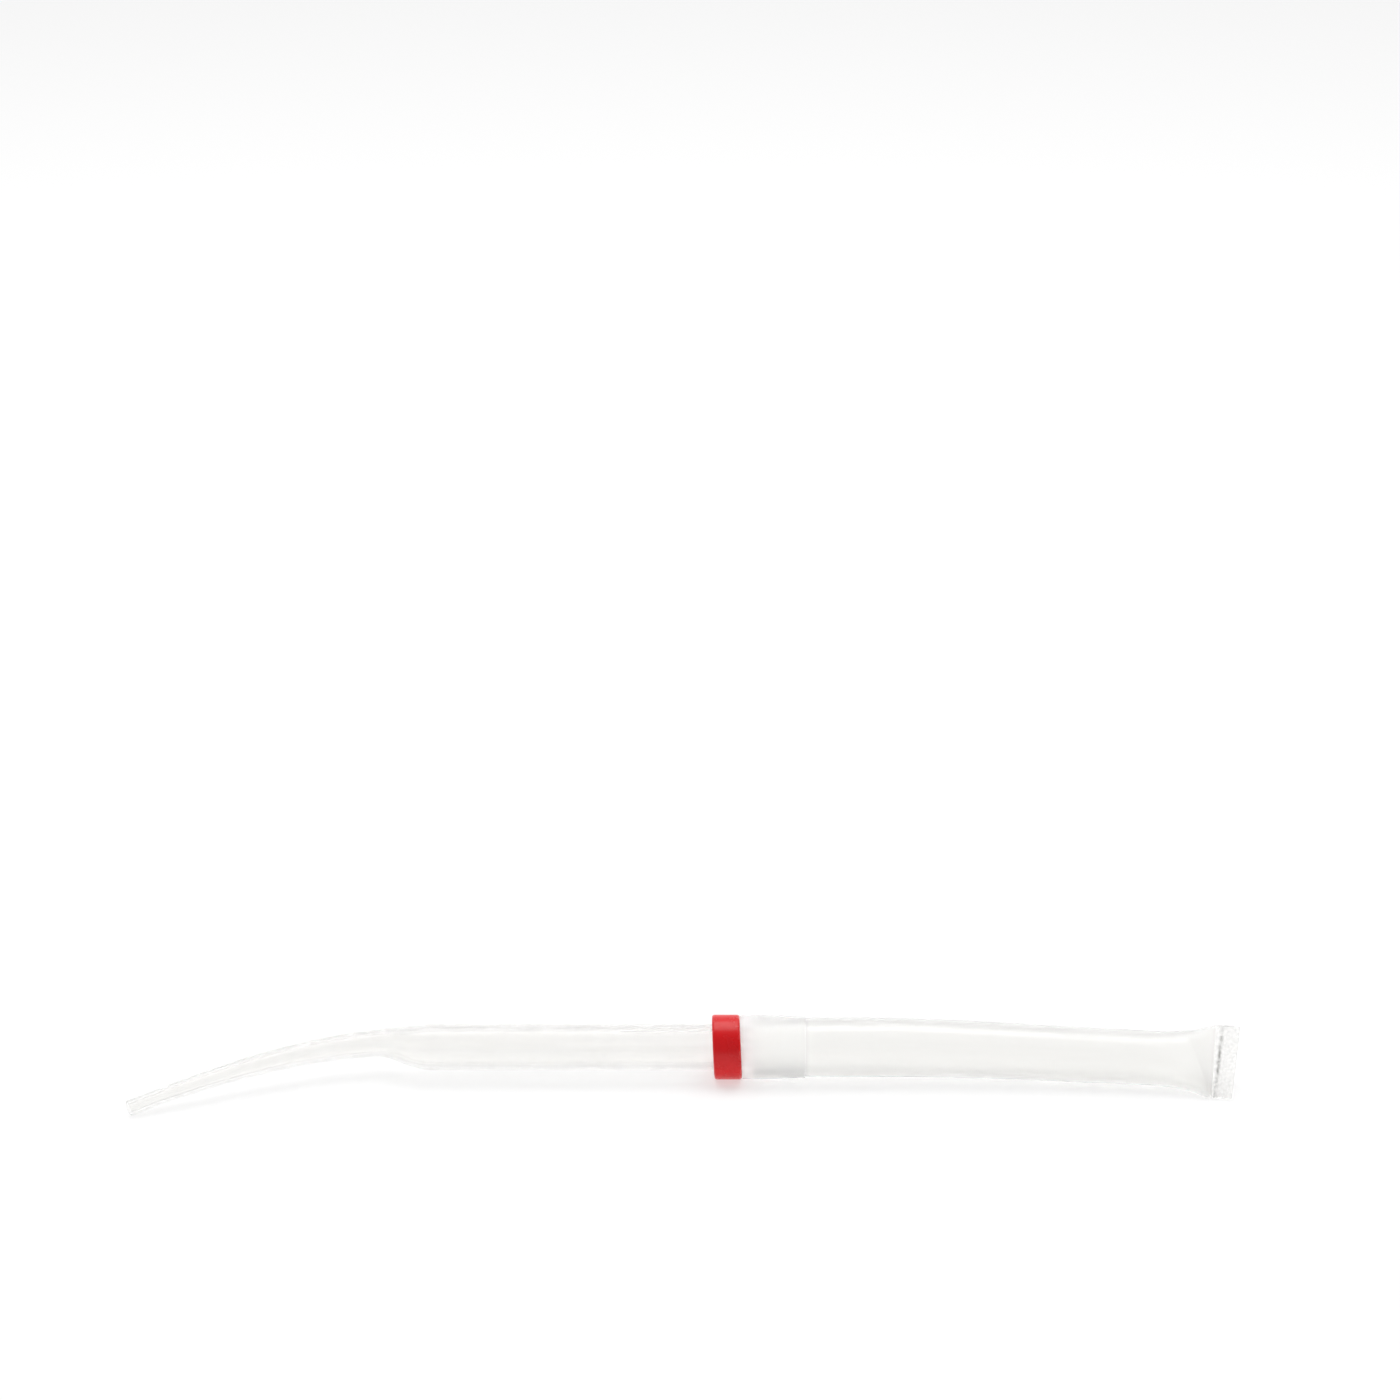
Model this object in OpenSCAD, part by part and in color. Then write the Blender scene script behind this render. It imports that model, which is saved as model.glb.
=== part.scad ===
// A soft plastic dropper: a moulded stem with a drawn tip and a socketed collar, a sealed bulb tube
// seated in the socket, and a colour ring.
// It lies as it comes to rest, on the ring, the tube's far end and the open end of the tip.

/* [Barrel and collar] */
// Outside diameter of the barrel
barrel_d = 5.0; // [4:0.1:6]
// Wall of the barrel
barrel_wall = 0.4; // [0.3:0.05:0.7]
// Length of bare barrel between the neck and the colour ring
barrel_len = 29.9; // [15:0.1:60]
// Outside diameter of the collar
collar_d = 6.9; // [6.6:0.1:7.6]
// Length of the collar between the colour ring and its rear edge
collar_len = 6.9; // [4:0.1:14]
// Length over which the collar thins towards its rear edge
collar_taper = 2.8; // [1:0.1:3.5]
// Length of the collar ahead of the socket that holds the bulb tube
socket_floor = 1.4; // [0.8:0.1:2.5]
// Wall of the collar at its rear edge
lip_wall = 0.1; // [0.06:0.01:0.2]
// Radius of the rounded rear edge, limited by half of its wall
lip_round = 0.05; // [0.02:0.01:0.1]

/* [Drawn tip] */
// Length over which the barrel necks down to the tip
neck_len = 7.4; // [5.5:0.1:14]
// Length of the slender tip beyond the neck
tip_len = 27.6; // [15:0.1:50]
// Outside diameter of the tip where it leaves the neck
tip_root_d = 2.9; // [2.2:0.1:3.6]
// Outside diameter of the tip at its open end
tip_end_d = 1.7; // [1.5:0.05:2.1]
// Wall of the tip
tip_wall = 0.35; // [0.25:0.05:0.45]
// Length of the straight stretch at the open end
tip_straight = 3.0; // [2:0.1:6]

/* [Bulb tube] */
// Outside diameter of the bulb tube in the collar
tube_d = 6.4; // [6:0.05:6.5]
// Outside diameter of the bulb tube where the pinch begins
tube_far_d = 5.95; // [5.5:0.05:6.4]
// Wall of the bulb tube
tube_wall = 0.4; // [0.3:0.05:0.5]
// Length of the round stretch of the bulb tube behind the collar
tube_len = 33.0; // [25:0.1:70]
// Length of its straight run behind the collar, before it bends and narrows
tube_straight = 6.0; // [1:0.1:10]

/* [Sealed end] */
// Length over which the tube closes from round to flat
pinch_len = 11.0; // [7:0.1:16]
// Length of the flat, welded seal
seal_len = 3.0; // [2:0.1:5]
// Width of the seal
seal_w = 9.0; // [7.5:0.1:9.6]
// Thickness of the seal
seal_t = 0.7; // [0.5:0.05:1]
// Distance from the start of the seal to the weld line across it
weld_at = 0.7; // [0.5:0.05:1]
// Depth of the weld line on each face
weld_depth = 0.12; // [0.05:0.01:0.15]
// Number of crimp ribs on the fin beyond the weld line
crimp_ribs = 4; // [2:1:6]
// Height of the crimp ribs on each face
crimp_depth = 0.05; // [0.02:0.01:0.08]

/* [Colour ring] */
// Outside diameter of the colour ring
ring_d = 7.0; // [6.8:0.05:8]
// Width of the colour ring
ring_w = 3.0; // [2:0.1:5]
// Radius of the ring's outer edges
ring_round = 0.3; // [0.1:0.05:0.5]

/* [Fits] */
// Clearance between the ring's bore and the barrel, on the radius
ring_gap = 0.03; // [0.01:0.01:0.1]
// Clearance between the bulb tube and its socket, on the radius
socket_gap = 0.03; // [0.02:0.01:0.1]
// Clearance between end faces that butt together
seat_gap = 0.02; // [0.01:0.01:0.1]

/* [Set in the plastic] */
// Angle that the neck kinks back before the tip turns forward
neck_kink = 22; // [0:1:25]
// Angle that the tip turns forward over its length
tip_turn = 29.5; // [0:0.5:40]
// Angle that the bulb tube turns forward over its length
bulb_turn = 9; // [0:0.5:20]

/* [Hidden] */
$fn = 96;

// Sides of the swept walls, and the overlap and inset with which they sit inside the true cylinders
stem_sides = 32;
tube_sides = 44;
lap = 0.4;
inset = 0.01;

// Numbers of steps along the neck, the tip, the tube, the pinch and a quarter-round
neck_steps = 14;
tip_steps = 15;
tube_steps = 13;
pinch_steps = 12;
fillet_steps = 8;

// Radii
barrel_r = barrel_d / 2;
bore_r = barrel_r - barrel_wall;
ring_r = ring_d / 2;
tip_root_r = tip_root_d / 2;
tip_end_r = tip_end_d / 2;
tip_bore_r = tip_end_r - tip_wall;
tube_r = tube_d / 2;
tube_far_r = tube_far_d / 2;
tube_bore_r = tube_r - tube_wall;
socket_r = tube_r + socket_gap;
lip_r = socket_r + lip_wall;
// The collar is never thinner than its rear edge
collar_r = max(collar_d / 2, lip_r);

// Height of the barrel's axis: the part lies on the ring, or on the collar if that is the larger
axis_z = max(ring_r, collar_r);

// Stations along the axis, measured from the middle of the ring: stem side to the left, tube to the right
neck_at = ring_w / 2 + barrel_len;
tip_at = neck_at + neck_len;
mouth_at = tip_at + tip_len;
straight_at = mouth_at - tip_straight;
collar_at = ring_w / 2 + seat_gap;
shoulder_at = collar_at + collar_len;
socket_at = collar_at + socket_floor;
tube_at = socket_at + seat_gap;
bend_at = shoulder_at + tube_straight;
pinch_at = shoulder_at + tube_len;
seal_at = pinch_at + pinch_len;
fin_end = seal_at + seal_len;

// The flat seal lies over until the box around it is no taller than the tube beside it, so its
// rounded lower edge comes to rest just clear of the floor.
seal_lean = atan(seal_t / seal_w);
seal_roll = seal_lean + acos(min(1, tube_far_d / seal_w * cos(seal_lean)));

// A smooth step from 0 to 1, a number held between 0 and 1, and an even spread of numbers
function held(t) = min(max(t, 0), 1);
function ease(t) = let (c = held(t)) c * c * (3 - 2 * c);
function spread(a, b, n) = [for (i = [0:n]) a + (b - a) * i / n];

// ---- the curve of the stem side, as functions of the distance d from the ring ----

// How late the stem drops to the floor, and how fast its turn forward fades out
droop_exponent = 2.5;
turn_exponent = 3;
turn_at = neck_at + neck_len / 2;
droop_run = straight_at - neck_at;
droop = (axis_z - tip_end_r) / (1 + droop_exponent * tip_straight / droop_run);

// Heading: a kink back along the neck, then a turn forward that fades out towards the mouth
function stem_heading(d) =
    tip_turn * (1 - pow(1 - held((d - turn_at) / (straight_at - turn_at)), turn_exponent))
    - neck_kink * pow(sin(180 * held((d - neck_at) / neck_len)), 2);
// Slope and height: level on the barrel, then falling until the mouth rests on the floor
function dropped(d) = held((d - neck_at) / droop_run);
function stem_slope(d) = droop * droop_exponent / droop_run * pow(dropped(d), droop_exponent - 1);
function stem_height(d) =
    axis_z - droop * pow(dropped(d), droop_exponent) - stem_slope(straight_at) * max(0, d - straight_at);
// Outside radius: an S-shaped neck, then an even taper
function stem_radius(d) = d < tip_at
    ? barrel_r - inset + (tip_root_r - barrel_r + inset) * ease((d - neck_at) / neck_len)
    : tip_root_r + (tip_end_r - inset - tip_root_r) * held((d - tip_at) / (straight_at - tip_at));
function stem_wall(d) = let (t = ease((d - neck_at) / neck_len))
    barrel_wall * (1 - t) + tip_wall * t - 2 * inset;

// ---- the curve of the tube side, as functions of the distance s from the ring ----

function tube_heading(s) = bulb_turn * ease((s - bend_at) / (fin_end - bend_at));
function tapered(s) = ease((s - bend_at) / (pinch_at - bend_at));
function tube_height(s) = axis_z + (tube_far_r - axis_z) * tapered(s);

// How far along the pinch, from 0 at the round tube to 1 at the seal
function pinched(s) = held((s - pinch_at) / pinch_len);
// The section closes along a rounded curve, widens late, and squares its edges by this share
close_exponent = 1.65;
round_exponent = 0.65;
widen_exponent = 4;
square_exponent = 3;
squareness = 0.72;
// Share of the section that stays open on the way from round, 1, to sealed, 0
function openness(s) = pow(1 - pow(pinched(s), close_exponent), round_exponent);
function tube_radius(s) = tube_r - inset + (tube_far_r - tube_r + inset) * tapered(s);
// Half-width and half-thickness of the outside, with the weld line and the crimp ribs across the seal
function half_width(s) = tube_radius(s) + (seal_w / 2 - tube_far_r) * pow(pinched(s), widen_exponent);
rib_pitch = (seal_len - 2 * weld_at) / crimp_ribs;
weld_half = weld_at / 2;
function weld_cut(s) = weld_depth * max(0, 1 - abs(s - seal_at - weld_at) / weld_half);
function rib_wave(s) = let (f = (s - seal_at - weld_at - weld_half) / rib_pitch)
    f <= 0 || f >= crimp_ribs ? 0 : crimp_depth * (1 - cos(360 * f)) / 2;
function half_thickness(s) =
    seal_t / 2 + (tube_radius(s) - seal_t / 2) * openness(s)
    - (s > seal_at ? weld_cut(s) - rib_wave(s) : 0);
// The section turns from a circle into a flat bar with rounded edges
function corner_power(s) = 1 - squareness * pow(pinched(s), square_exponent);
// The cavity follows the outside and ends as a slit of this half-height where the seal begins
slit = 0.03;
function cavity_half_width(s) = half_width(s) - tube_wall + 2 * inset;
function cavity_half_thickness(s) = slit + (tube_radius(s) - tube_wall + 2 * inset - slit) * openness(s);

// ---- stations, and the points that the curves pass through there ----

tip_stations = [for (i = [1:tip_steps]) tip_at + (straight_at - tip_at) * i / tip_steps];
stem_stations = concat(
    [neck_at - lap], spread(neck_at, tip_at, neck_steps), tip_stations, [straight_at + lap]);
// The pinch steps draw together towards the seal, where the section closes fastest
spacing_exponent = 1.6;
pinch_stations = [for (i = [1:pinch_steps])
    pinch_at + pinch_len * (1 - pow(1 - i / pinch_steps, spacing_exponent))];
tube_stations = concat([bend_at - lap], spread(bend_at, pinch_at, tube_steps), pinch_stations);
weld_stations = [for (k = [-1, -0.5, 0, 0.5, 1]) seal_at + weld_at + k * weld_half];
// Four steps to a rib, and a short flat margin at each end of the seal
rib_steps = 4;
margin = 0.1;
rib_stations = [for (k = [1:rib_steps * crimp_ribs])
    seal_at + weld_at + weld_half + k * rib_pitch / rib_steps];
seal_stations = concat([seal_at + margin], weld_stations, rib_stations, [fin_end - margin, fin_end]);

// Plan positions: each step runs in the heading that holds at its middle
function stem_trail(st) = [for (i = 0, p = [-st[0], 0]; i < len(st);
    p = i + 1 < len(st) ? p + stem_step(st[i], st[i + 1]) : p, i = i + 1) p];
function stem_step(a, b) = let (h = stem_heading((a + b) / 2)) -(b - a) * [cos(h), sin(h)];
function tube_trail(st) = [for (i = 0, p = [st[0], 0]; i < len(st);
    p = i + 1 < len(st) ? p + tube_step(st[i], st[i + 1]) : p, i = i + 1) p];
function tube_step(a, b) = let (h = tube_heading((a + b) / 2)) (b - a) * [cos(h), -sin(h)];

// A ring of points on the stem: a circle square to the curve, starting from the side
function stem_ring(p, d, r) =
    let (h = stem_heading(d), tilt = atan(stem_slope(d)), side = [-sin(h), cos(h), 0],
        up = [-sin(tilt) * cos(h), -sin(tilt) * sin(h), cos(tilt)])
    [for (k = [0:stem_sides - 1]) let (a = 360 * k / stem_sides)
        [p.x, p.y, stem_height(d)] + r * (cos(a) * side + sin(a) * up)];

// A ring of points on the tube: w runs across the seal and n through it
function tube_ring(p, s, w, n, power) =
    let (h = tube_heading(s), back = [sin(h), cos(h), 0], up = [0, 0, 1],
        wide = cos(seal_roll) * up + sin(seal_roll) * back,
        thick = cos(seal_roll) * back - sin(seal_roll) * up)
    [for (k = [0:tube_sides - 1]) let (a = 360 * (k + 0.5) / tube_sides, c = cos(a), t = sin(a))
        [p.x, p.y, tube_height(s)] + w * sign(c) * pow(abs(c), power) * wide
            + n * sign(t) * pow(abs(t), power) * thick];

// ---- walls built from rings of points ----

function sheet_faces(rows, n, first, flip) = [for (i = [0:rows - 2], j = [0:n - 1])
    let (a = first + i * n + j, b = first + i * n + (j + 1) % n)
    each flip ? [[a, b + n, b], [a, a + n, b + n]] : [[a, b, b + n], [a, b + n, a + n]]];
function rim_faces(n, outer, inner, flip) = [for (j = [0:n - 1])
    let (a = outer + j, b = outer + (j + 1) % n, c = inner + j, d = inner + (j + 1) % n)
    each flip ? [[a, b, d], [a, d, c]] : [[a, d, b], [a, c, d]]];
function lid_faces(n, first, flip) = [for (j = [1:n - 2])
    flip ? [first, first + j + 1, first + j] : [first, first + j, first + j + 1]];

// A pipe wall, open at both ends
module pipe_wall(outside, inside, n) {
    rows = len(outside);
    polyhedron(
        points = concat([for (r = outside) each r], [for (r = inside) each r]),
        faces = concat(
            sheet_faces(rows, n, 0, false),
            sheet_faces(rows, n, rows * n, true),
            rim_faces(n, 0, rows * n, false),
            rim_faces(n, (rows - 1) * n, (2 * rows - 1) * n, true)));
}

// A pouch wall, open where it starts and closed at the far end
module pouch_wall(outside, inside, n) {
    rows = len(outside);
    cavity_rows = len(inside);
    polyhedron(
        points = concat([for (r = outside) each r], [for (r = inside) each r]),
        faces = concat(
            sheet_faces(rows, n, 0, false),
            sheet_faces(cavity_rows, n, rows * n, true),
            rim_faces(n, 0, rows * n, false),
            lid_faces(n, (rows - 1) * n, false),
            lid_faces(n, (rows + cavity_rows - 1) * n, true)));
}

// Circumscribes a polygon about a circle, so that a swept bore clears the true one
function clear_of(r, n) = r / cos(180 / n);

stem_points = stem_trail(stem_stations);
stem_outside = [for (i = [0:len(stem_stations) - 1])
    let (d = stem_stations[i]) stem_ring(stem_points[i], d, stem_radius(d))];
stem_inside = [for (i = [0:len(stem_stations) - 1])
    let (d = stem_stations[i])
    stem_ring(stem_points[i], d, clear_of(stem_radius(d) - stem_wall(d), stem_sides))];

outer_stations = concat(tube_stations, seal_stations);
tube_points = tube_trail(outer_stations);
tube_outside = [for (i = [0:len(outer_stations) - 1])
    let (s = outer_stations[i])
    tube_ring(tube_points[i], s, half_width(s), half_thickness(s), corner_power(s))];
tube_inside = [for (i = [0:len(tube_stations) - 1])
    let (s = tube_stations[i], k = 1 / cos(180 / tube_sides))
    tube_ring(tube_points[i], s, k * cavity_half_width(s), k * cavity_half_thickness(s), corner_power(s))];

// The open end: its centre and its way out
mouth_heading = stem_heading(mouth_at);
mouth_slope = atan(stem_slope(mouth_at));
straight_point = stem_points[len(stem_points) - 2];
mouth_way =
    [-cos(mouth_heading) * cos(mouth_slope), -sin(mouth_heading) * cos(mouth_slope), -sin(mouth_slope)];
mouth_start = [straight_point.x, straight_point.y, stem_height(straight_at)];
mouth_end = mouth_start + tip_straight * mouth_way;

// The origin is under the middle of the whole, on the floor
function reach(c) = tip_end_r * sqrt(1 - c * c);
swept_points = concat([for (r = stem_outside) each r], [for (r = tube_outside) each r]);
low_x = mouth_end.x - reach(mouth_way.x);
high_x = max([for (p = swept_points) p.x]);
low_y = min(mouth_end.y - reach(mouth_way.y), min([for (p = swept_points) p.y]));
high_y = max(ring_r, collar_r, max([for (p = swept_points) p.y]));
home = [-(low_x + high_x) / 2, -(low_y + high_y) / 2, 0];

// Turns a profile of [radius, station] about the axis of the barrel
module turned(profile) {
    translate([0, 0, axis_z])
        rotate([0, 90, 0])
            rotate_extrude()
                polygon(profile);
}

// A quarter-round in a profile, from angle a to angle b
function fillet(r, z, radius, a, b) =
    [for (t = spread(a, b, fillet_steps)) [r + radius * cos(t), z + radius * sin(t)]];

module dropper_stem() {
    color([0.94, 0.94, 0.92, 0.8])
        translate(home) {
            stem_core();
            pipe_wall(stem_outside, stem_inside, stem_sides);
            mouth();
        }
}

// The barrel and the collar, turned as one, with the socket open to the rear
module stem_core() {
    edge_r = min(lip_round, lip_wall / 2);
    turned(concat(
        [[bore_r, -neck_at], [barrel_r, -neck_at], [barrel_r, collar_at], [collar_r, collar_at],
         [collar_r, shoulder_at - collar_taper]],
        fillet(lip_r - edge_r, shoulder_at - edge_r, edge_r, 0, 90),
        [[socket_r, shoulder_at], [socket_r, socket_at], [bore_r, socket_at]]));
}

// The straight, open end of the tip
module mouth() {
    translate(mouth_start)
        rotate([0, 90 + mouth_slope, 180 + mouth_heading])
            difference() {
                cylinder(h = tip_straight, r = tip_end_r);
                translate([0, 0, -tip_straight / 2])
                    cylinder(h = 2 * tip_straight, r = tip_bore_r);
            }
}

module bulb_tube() {
    color([0.92, 0.93, 0.91, 0.55])
        translate(home) {
            turned([[tube_bore_r, tube_at], [tube_r, tube_at], [tube_r, bend_at], [tube_bore_r, bend_at]]);
            pouch_wall(tube_outside, tube_inside, tube_sides);
        }
}

module colour_ring() {
    color("firebrick")
        translate(home)
            turned(concat(
                [[barrel_r + ring_gap, -ring_w / 2]],
                fillet(ring_r - ring_round, ring_round - ring_w / 2, ring_round, -90, 0),
                fillet(ring_r - ring_round, ring_w / 2 - ring_round, ring_round, 0, 90),
                [[barrel_r + ring_gap, ring_w / 2]]));
}

dropper_stem();
bulb_tube();
colour_ring();
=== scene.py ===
import math

import bpy
import numpy as np
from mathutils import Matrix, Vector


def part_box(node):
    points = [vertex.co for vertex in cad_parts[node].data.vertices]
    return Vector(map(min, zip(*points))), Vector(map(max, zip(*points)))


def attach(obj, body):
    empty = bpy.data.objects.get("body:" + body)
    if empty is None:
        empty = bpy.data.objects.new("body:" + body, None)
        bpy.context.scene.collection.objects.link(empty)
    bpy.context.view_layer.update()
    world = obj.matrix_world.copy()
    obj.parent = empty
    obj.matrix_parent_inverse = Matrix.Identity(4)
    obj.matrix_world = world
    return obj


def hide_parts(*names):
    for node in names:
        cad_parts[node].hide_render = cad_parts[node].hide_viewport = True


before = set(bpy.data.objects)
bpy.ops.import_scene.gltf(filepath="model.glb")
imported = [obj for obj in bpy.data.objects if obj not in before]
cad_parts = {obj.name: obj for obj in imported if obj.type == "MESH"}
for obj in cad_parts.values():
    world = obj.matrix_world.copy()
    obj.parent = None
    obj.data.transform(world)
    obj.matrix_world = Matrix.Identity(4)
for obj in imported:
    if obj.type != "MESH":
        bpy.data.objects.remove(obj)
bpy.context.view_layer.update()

bl_info = {
    "name": "Soft plastic dropper",
    "version": (1, 0, 0),
    "blender": (4, 5, 0),
    "location": "3D View > Sidebar > Dropper",
    "description": "Moulds the stem, the bulb tube and the colour ring over their frame, "
                   "and sets the stage",
    "category": "Object",
}

RING_LOW, RING_HIGH = (np.array(corner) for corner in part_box("colour_ring"))
# Every station along the dropper is counted from here, the middle of the ring
RING_MIDDLE = (RING_LOW + RING_HIGH) / 2

MM = 0.001
# Clearances: end faces that butt together, the tube in its socket, and the ring round the barrel
SEAT_GAP = 0.02 * MM
SOCKET_GAP = 0.03 * MM
RING_GAP = 0.03 * MM
# Half-height of the slit in which the cavity ends where the seal begins
SLIT = 0.03 * MM
# Radii of the small roundings: the stem's mouth, the fin's end, and the ends of the ring's bore
MOUTH_EDGE = 0.08 * MM
FIN_EDGE = 0.1 * MM
BORE_EDGE = 0.08 * MM
# Faces that meet at more than this are shaded with an edge between them
SHARP_TURN = math.radians(38)
# The ring's lean fades out of the stem over this length beyond the ring's faces
LEAN_FADE = 1.3 * MM
# The stem falls towards the floor with this power of the distance along it
FALL_POWER = 2.5
# Number of points between which a curved run is summed up in straight steps
PLAN_POINTS = 4001

# Pitches of the rows along the pieces, finer where the outline bends more
STRAIGHT_PITCH = 0.5 * MM
TIP_PITCH = 0.35 * MM
NECK_PITCH = 0.15 * MM
COLLAR_PITCH = 0.4 * MM
TAPER_PITCH = 0.1 * MM
CAVITY_PITCH = 0.75 * MM
CAVITY_PINCH_PITCH = 0.2 * MM
PINCH_PITCH = 0.12 * MM
FIN_PITCH = 0.035 * MM

# Lines that the die leaves along the extruded tube, outside and inside, as waves of its radius: the
# number of waves round the tube, their height in millimetres and their phase
DIE_OUTSIDE = ((5, 0.011, 0.8), (11, 0.007, 2.1), (23, 0.004, 0.4))
DIE_INSIDE = ((4, 0.012, 2.6), (9, 0.007, 0.3))
# Pitch and height of the diamond knurl that the jaws press into the fin
KNURL_PITCH = 0.62 * MM
KNURL_HEIGHT = 0.035 * MM
# The painted shade of the weld groove fades out this far to each side of the weld line
GROOVE_SHADE_REACH = 0.3 * MM

# The softbox: its two sides and its place, in metres
SOFTBOX_SIDES = (0.7, 0.45)
SOFTBOX_PLACE = (0.0, 0.18, 0.6)
# The room's light grows while a direction's part away from the camera goes from one to the other
ROOM_DIM, ROOM_PALE = -0.55, 0.45
# The camera, in millimetres: its sensor and lens, and how far it stands to the left of the middle
# of the ring, above it and back from it, along its own axes
SENSOR, LENS = 36, 118.2857
CAMERA_LEFT, CAMERA_UP, CAMERA_BACK = 2.916, 37.48, 496.8


# ---------------------------------------------------------------- sizes and colours


def length(name, description, millimetres):
    """A length that a user can set, given in millimetres and kept in metres."""
    return bpy.props.FloatProperty(
        name=name, description=description, default=millimetres * MM, min=0.0,
        unit="LENGTH", subtype="DISTANCE", precision=5)


def angle(name, description, degrees):
    """An angle that a user can set, given in degrees and kept in radians."""
    return bpy.props.FloatProperty(
        name=name, description=description, default=math.radians(degrees),
        unit="ROTATION", subtype="ANGLE")


def strength(name, description, value):
    """A strength of light that a user can set."""
    return bpy.props.FloatProperty(name=name, description=description, default=value, min=0.0)


def linear(hex_colour):
    """Turns an sRGB hex colour into linear red, green, blue and a full alpha."""
    channels = [int(hex_colour[i:i + 2], 16) / 255 for i in (0, 2, 4)]
    red, green, blue = (
        c / 12.92 if c <= 0.04045 else ((c + 0.055) / 1.055) ** 2.4 for c in channels)
    return red, green, blue, 1.0


def colour(name, description, hex_colour):
    """A colour that a user can set, given as an sRGB hex value."""
    return bpy.props.FloatVectorProperty(
        name=name, description=description, default=linear(hex_colour), size=4,
        min=0.0, max=1.0, subtype="COLOR")


class StemSizes(bpy.types.PropertyGroup):
    """Sizes and colour of the moulded stem"""
    barrel_d: length("Barrel diameter", "Outside diameter of the barrel", 5.0)
    barrel_wall: length("Barrel wall", "Wall of the barrel", 0.4)
    barrel_len: length("Barrel length", "Bare barrel between the neck and the ring", 29.9)
    collar_d: length("Collar diameter", "Outside diameter of the collar", 6.9)
    collar_len: length("Collar length", "From the ring to the collar's rear edge", 6.9)
    collar_taper: length("Collar taper", "Length over which the collar thins", 2.8)
    socket_floor: length("Socket floor", "Length of collar ahead of the socket", 1.4)
    lip_wall: length("Lip wall", "Wall of the collar at its rear edge", 0.1)
    neck_len: length("Neck length", "Length over which the barrel necks down", 7.4)
    tip_len: length("Tip length", "Length of the slender tip", 27.6)
    tip_root_d: length("Tip root diameter", "Outside diameter where the tip begins", 2.9)
    tip_end_d: length("Tip end diameter", "Outside diameter at the open end", 1.7)
    tip_wall: length("Tip wall", "Wall of the tip", 0.35)
    tip_straight: length("Straight end", "Straight stretch at the open end", 3.0)
    neck_kink: angle("Neck kink", "Kink back at the neck", 22)
    tip_turn: angle("Tip turn", "Turn forward along the tip", 29.5)
    plastic: colour("Plastic", "Colour of the thin barrel and tip", "F4F3F0")


class TubeSizes(bpy.types.PropertyGroup):
    """Sizes and colour of the bulb tube and its seal"""
    tube_d: length("Tube diameter", "Outside diameter in the collar", 6.4)
    tube_far_d: length("Far diameter", "Outside diameter where the pinch begins", 5.95)
    tube_wall: length("Tube wall", "Wall of the bulb tube", 0.4)
    tube_len: length("Tube length", "Round stretch behind the collar", 33.0)
    tube_straight: length("Straight run", "Straight stretch behind the collar", 6.0)
    pinch_len: length("Pinch length", "Length over which the tube closes", 11.0)
    seal_len: length("Seal length", "Length of the flat seal", 2.4)
    seal_w: length("Seal width", "Width of the flat seal", 9.0)
    seal_t: length("Seal thickness", "Thickness of the flat seal", 0.7)
    weld_at: length("Weld line", "From the start of the seal to the weld line", 0.56)
    weld_depth: length("Weld depth", "Depth of the weld line on each face", 0.12)
    crimp_depth: length("Crimp depth", "Height of the crimp ribs on each face", 0.05)
    crimp_ribs: bpy.props.IntProperty(
        name="Crimp ribs", description="Number of ribs beyond the weld line",
        default=4, min=2, max=6)
    seal_lean: angle("Seal lean", "How far the weld line and the fin's end are out of square", 2.3)
    fold_top: length("Upper fold", "From the seal to the fold along its upper edge", 3.6)
    fold_foot: length("Lower fold", "From the seal to the fold along its lower edge", 0.3)
    bulb_turn: angle("Bulb turn", "Turn forward along the bulb tube", 9)
    plastic: colour("Plastic", "Colour of the clear tube", "F1F0ED")


class RingSizes(bpy.types.PropertyGroup):
    """Sizes and colour of the ring"""
    ring_d: length("Ring diameter", "Outside diameter of the ring", (RING_HIGH - RING_LOW)[2] / MM)
    ring_w: length("Ring width", "Width of the ring", (RING_HIGH - RING_LOW)[0] / MM)
    ring_round: length("Edge radius", "Radius of the ring's outer edges", 0.3)
    ring_lean: angle("Lean", "How far the ring and the step behind it are out of square", 2.5)
    plastic: colour("Plastic", "Colour of the ring", "E7191E")


class StageSizes(bpy.types.PropertyGroup):
    """Floor, light and camera"""
    floor_side: length("Floor side", "Side of the square floor", 4000)
    floor_tone: colour("Floor", "Colour of the floor", "B3B3B3")
    elevation: angle("Elevation", "Height of the camera above the horizon", 18)
    floor_glow: strength("Floor glow", "Light that the opal floor gives from below", 0.54)
    room_near: strength("Near room", "Strength of the light from the camera's side", 0.31)
    room_far: strength("Far room", "Strength of the light from the far side", 0.88)
    softbox: bpy.props.FloatProperty(
        name="Softbox", description="Power of the softbox", default=2.6, min=0.0, unit="POWER")


class DropperSettings(bpy.types.PropertyGroup):
    """Everything that a user can change on the dropper and its stage"""
    stem: bpy.props.PointerProperty(name="Stem", description="The moulded stem", type=StemSizes)
    tube: bpy.props.PointerProperty(name="Bulb tube", description="The bulb tube", type=TubeSizes)
    ring: bpy.props.PointerProperty(name="Ring", description="The colour ring", type=RingSizes)
    stage: bpy.props.PointerProperty(
        name="Stage", description="Floor, light and camera", type=StageSizes)


# ---------------------------------------------------------------- curves


def held(t):
    """t, held between 0 and 1."""
    return np.clip(t, 0.0, 1.0)


def rise(x, start, end):
    """A smooth rise from 0 at start to 1 at end, flat at both: 3 t squared less 2 t cubed, where t
    is the share of the way."""
    t = held((x - start) / (end - start))
    return t * t * (3 - 2 * t)


def steps(a, b, pitch):
    """Even stations from a up to, but without, b, about a pitch apart."""
    return np.linspace(a, b, max(2, int(round(abs(b - a) / pitch))), endpoint=False)


def stations(*runs):
    """Stations along runs of (from, to, pitch) that follow one another, without the last end."""
    return np.concatenate([steps(a, b, pitch) for a, b, pitch in runs])


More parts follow.
